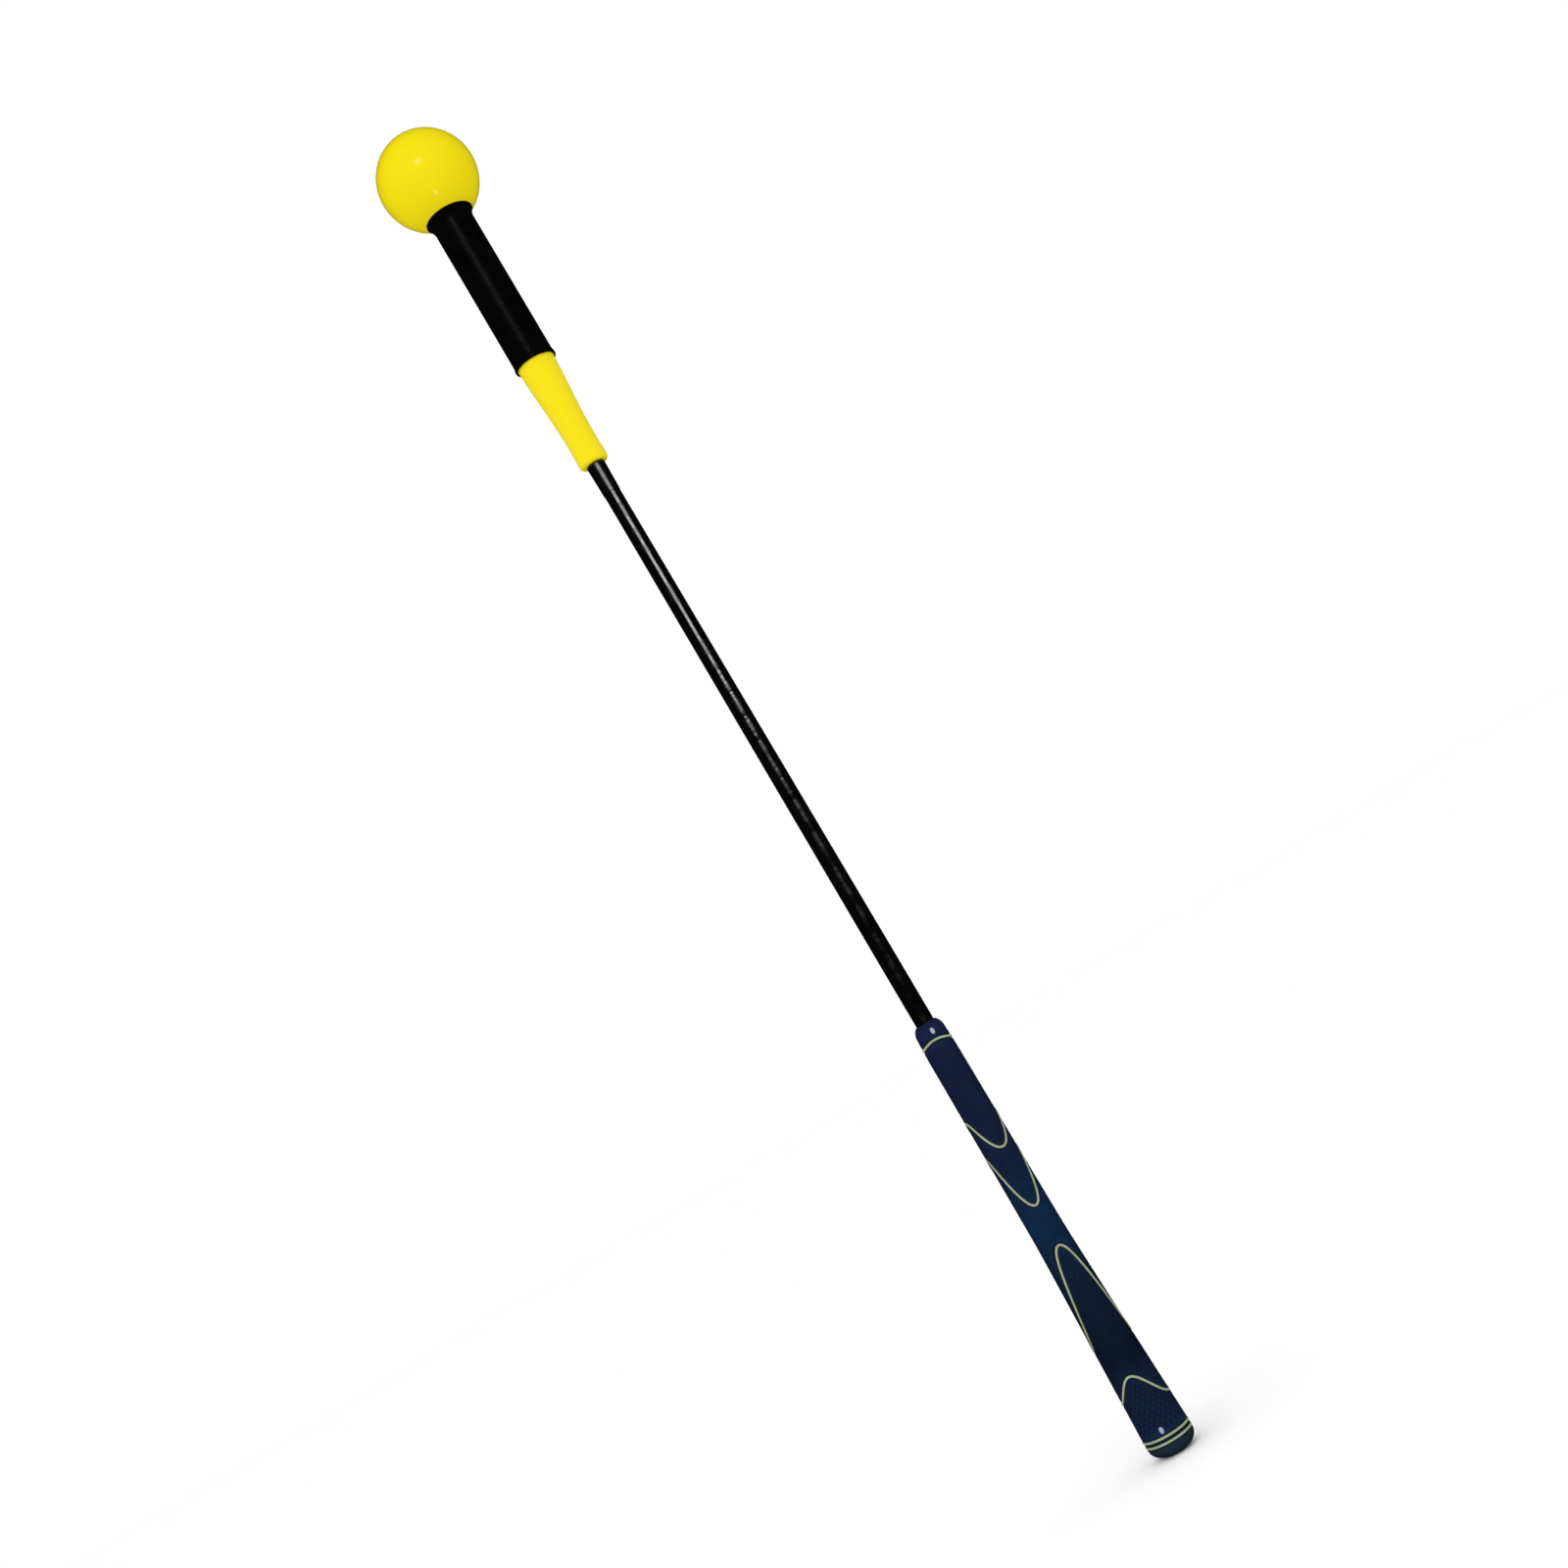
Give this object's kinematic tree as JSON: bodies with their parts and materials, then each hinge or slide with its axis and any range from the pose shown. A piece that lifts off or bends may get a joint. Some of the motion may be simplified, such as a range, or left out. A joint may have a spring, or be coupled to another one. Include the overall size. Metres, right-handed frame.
{
  "type": "golf swing trainer stick",
  "caption": "Golf swing trainer: a weighted yellow ball head and black neck tube on a slim flexible shaft with a flared, line-inlaid rubber golf grip.",
  "frame": {"origin": "centre of the grip's butt end, on the flat end face of the end cap", "axes": "+Z along the stick from the butt end to the ball; the front of the inlaid pattern faces -Y"},
  "size_m": [0.061, 0.061, 0.8725],
  "materials": {
    "grip_rubber": "satin",
    "line_rubber": "satin",
    "grip_tape": "matte",
    "build_sleeve": "matte",
    "shaft_lacquer": "gloss",
    "ferrule": "satin",
    "yellow_plastic": "gloss",
    "black_tube": "satin",
    "steel_weight": "turned",
    "zinc_steel": "zinc plated",
    "nylon": "matte"
  },
  "bodies": {
    "handle": {"end_cap": "grip_rubber", "grip": "grip_rubber", "grip_tape": "grip_tape", "butt_sleeve": "build_sleeve", "lower_ring": "line_rubber", "upper_ring": "line_rubber", "mouth_line": "line_rubber", "loop_1": "line_rubber", "loop_2": "line_rubber", "loop_3": "line_rubber", "loop_4": "line_rubber"},
    "shaft": {"shaft": "shaft_lacquer"},
    "head": {"tip_ferrule": "ferrule", "taper_sleeve": "yellow_plastic", "neck_tube": "black_tube", "neck_weight": "steel_weight", "neck_plug": "nylon", "jam_nut": "zinc_steel", "spring_washer": "zinc_steel", "ball_stud": "zinc_steel", "ball_core": "steel_weight", "ball_cover": "yellow_plastic"}
  },
  "joints": [
    {"name": "flex_lower", "type": "hinge", "parent": "handle", "child": "shaft", "pos_m": [0, 0, 0.349], "axis": [0, 1, 0], "range_deg": [-16, 16], "stiffness_Nm_per_rad": 132, "deforming": ["shaft"]},
    {"name": "flex_upper", "type": "hinge", "parent": "shaft", "child": "head", "pos_m": [0, 0, 0.525], "axis": [0, 1, 0], "range_deg": [-9, 9], "stiffness_Nm_per_rad": 115, "deforming": ["shaft"]}
  ],
  "couplings": [
    {"joint": "flex_upper", "follows": "flex_lower", "ratio": 0.56}
  ]
}
